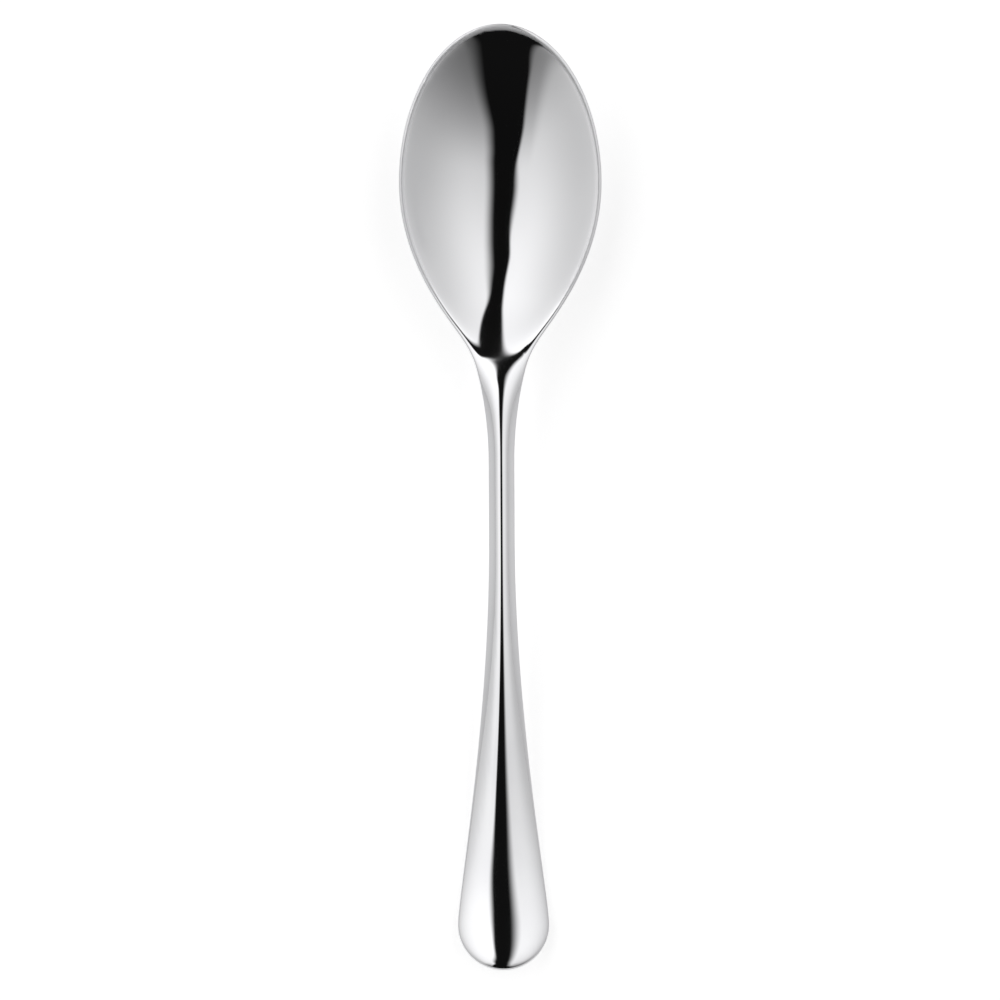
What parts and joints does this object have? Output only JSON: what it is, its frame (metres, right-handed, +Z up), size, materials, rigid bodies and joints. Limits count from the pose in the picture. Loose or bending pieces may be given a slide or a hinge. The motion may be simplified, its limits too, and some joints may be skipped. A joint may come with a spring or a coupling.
{
  "type": "teaspoon",
  "caption": "Teaspoon of mirror-polished steel with an egg-shaped bowl, a slim arched stem and a handle that widens to a rounded end, for stirring, measuring and serving.",
  "frame": {"origin": "on the table below the middle of the spoon's length, on its centre line", "axes": "+X across the spoon, to the right seen from above with the bowl away from you; +Y along the spoon towards the tip of the bowl; +Z up, out of the bowl's hollow"},
  "size_m": [0.03, 0.14, 0.0129],
  "materials": {
    "polished_steel": "mirror-polished stainless steel"
  },
  "bodies": {
    "root": {"bowl": "polished_steel", "neck": "polished_steel", "stem": "polished_steel", "handle": "polished_steel"}
  },
  "joints": []
}
